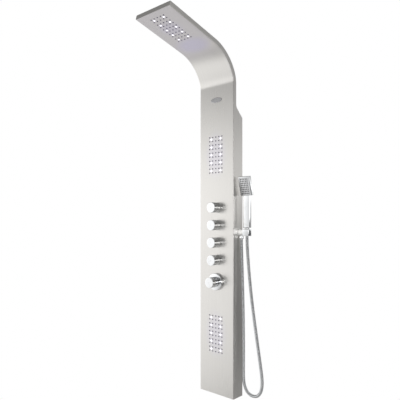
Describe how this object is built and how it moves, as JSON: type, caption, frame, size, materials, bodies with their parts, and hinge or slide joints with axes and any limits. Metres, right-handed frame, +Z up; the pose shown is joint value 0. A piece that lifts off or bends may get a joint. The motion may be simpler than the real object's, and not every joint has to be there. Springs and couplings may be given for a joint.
{
  "type": "rainfall shower column",
  "caption": "Tall wall-hung stainless shower column with a forward-bent rain head, body jets, diverter and temperature knobs, and a hand shower on a hose.",
  "frame": {"origin": "centre of the upper wall bracket's back face, on the wall", "axes": "+Z up along the column, +Y into the wall, +X to the right seen from the front, where the hand shower hangs"},
  "size_m": [0.3464, 0.4684, 1.6579],
  "materials": {
    "brushed_steel": "brushed across the width, satin",
    "chrome": "polished",
    "zinc_plated_steel": "zinc plated, dull",
    "brass": "cast and machined",
    "ceramic_cartridge": "moulded cartridge body",
    "grey_plastic": "moulded",
    "nozzle_silicone": "soft moulded",
    "led_board": "white board with clear light pillars",
    "braided_hose": "braided stainless wire",
    "hose_spiral": "double-lock spiral hose",
    "nozzle_grey": "moulded face with rubber nozzles"
  },
  "bodies": {
    "root": {"front_sheet": "brushed_steel", "side_plate_left": "brushed_steel", "side_plate_right": "brushed_steel", "rear_cover": "brushed_steel", "head_end_cap": "brushed_steel", "bottom_plate": "brushed_steel", "badge_plate": "chrome", "temperature_flange": "chrome", "holder_block": "chrome", "hose_outlet_nut": "chrome", "hot_inlet_nut": "chrome", "cold_inlet_nut": "chrome", "upper_wall_bracket": "zinc_plated_steel", "lower_wall_bracket": "zinc_plated_steel", "upper_hanger_bar": "zinc_plated_steel", "lower_hanger_bar": "zinc_plated_steel", "rain_nozzle_mat": "nozzle_silicone", "rain_chamber": "grey_plastic", "rain_led_board": "led_board", "upper_jets_nozzle_mat": "nozzle_silicone", "upper_jets_chamber": "grey_plastic", "upper_jets_led_board": "led_board", "lower_jets_nozzle_mat": "nozzle_silicone", "lower_jets_chamber": "grey_plastic", "lower_jets_led_board": "led_board", "valve_body": "brass", "holder_lock_nut": "brass", "led_generator": "grey_plastic", "rain_cartridge": "ceramic_cartridge", "rain_cartridge_nut": "brass", "upper_jets_cartridge": "ceramic_cartridge", "upper_jets_cartridge_nut": "brass", "lower_jets_cartridge": "ceramic_cartridge", "lower_jets_cartridge_nut": "brass", "hand_outlet_cartridge": "ceramic_cartridge", "hand_outlet_cartridge_nut": "brass", "temperature_cartridge": "ceramic_cartridge", "temperature_cartridge_nut": "brass", "rain_pipe": "braided_hose", "upper_jets_pipe": "braided_hose", "lower_jets_pipe": "braided_hose", "hand_outlet_pipe": "braided_hose", "hot_inlet_hose": "braided_hose", "cold_inlet_hose": "braided_hose", "shower_hose": "hose_spiral"},
    "rain_control": {"rain_spindle": "brass", "rain_knob": "chrome"},
    "upper_jets_control": {"upper_jets_spindle": "brass", "upper_jets_knob": "chrome"},
    "lower_jets_control": {"lower_jets_spindle": "brass", "lower_jets_knob": "chrome"},
    "hand_outlet_control": {"hand_outlet_spindle": "brass", "hand_outlet_knob": "chrome"},
    "temperature_control": {"temperature_spindle": "brass", "temperature_knob": "chrome"},
    "hose_end": {"hose_cone_nut": "chrome"},
    "hand_shower": {"hand_shower_head": "chrome", "hand_shower_face": "nozzle_grey", "hand_shower_handle": "chrome"}
  },
  "joints": [
    {"name": "rain_turn", "type": "hinge", "parent": "root", "child": "rain_control", "pos_m": [0, -0.068, -0.314], "axis": [0, -1, 0], "range_deg": [0, 90]},
    {"name": "upper_jets_turn", "type": "hinge", "parent": "root", "child": "upper_jets_control", "pos_m": [0, -0.068, -0.395], "axis": [0, -1, 0], "range_deg": [0, 90]},
    {"name": "lower_jets_turn", "type": "hinge", "parent": "root", "child": "lower_jets_control", "pos_m": [0, -0.068, -0.476], "axis": [0, -1, 0], "range_deg": [0, 90]},
    {"name": "hand_outlet_turn", "type": "hinge", "parent": "root", "child": "hand_outlet_control", "pos_m": [0, -0.068, -0.557], "axis": [0, -1, 0], "range_deg": [0, 90]},
    {"name": "temperature_turn", "type": "hinge", "parent": "root", "child": "temperature_control", "pos_m": [0, -0.068, -0.658], "axis": [0, -1, 0], "range_deg": [-135, 135]},
    {"name": "hand_shower_lift", "type": "slide", "parent": "root", "child": "hose_end", "axis": [0, 0, 1], "range_m": [0, 0.06]},
    {"name": "hand_shower_swivel", "type": "hinge", "parent": "hose_end", "child": "hand_shower", "pos_m": [0.143, -0.023, -0.406], "axis": [0, 0, 1], "range_deg": [-30, 75]}
  ]
}
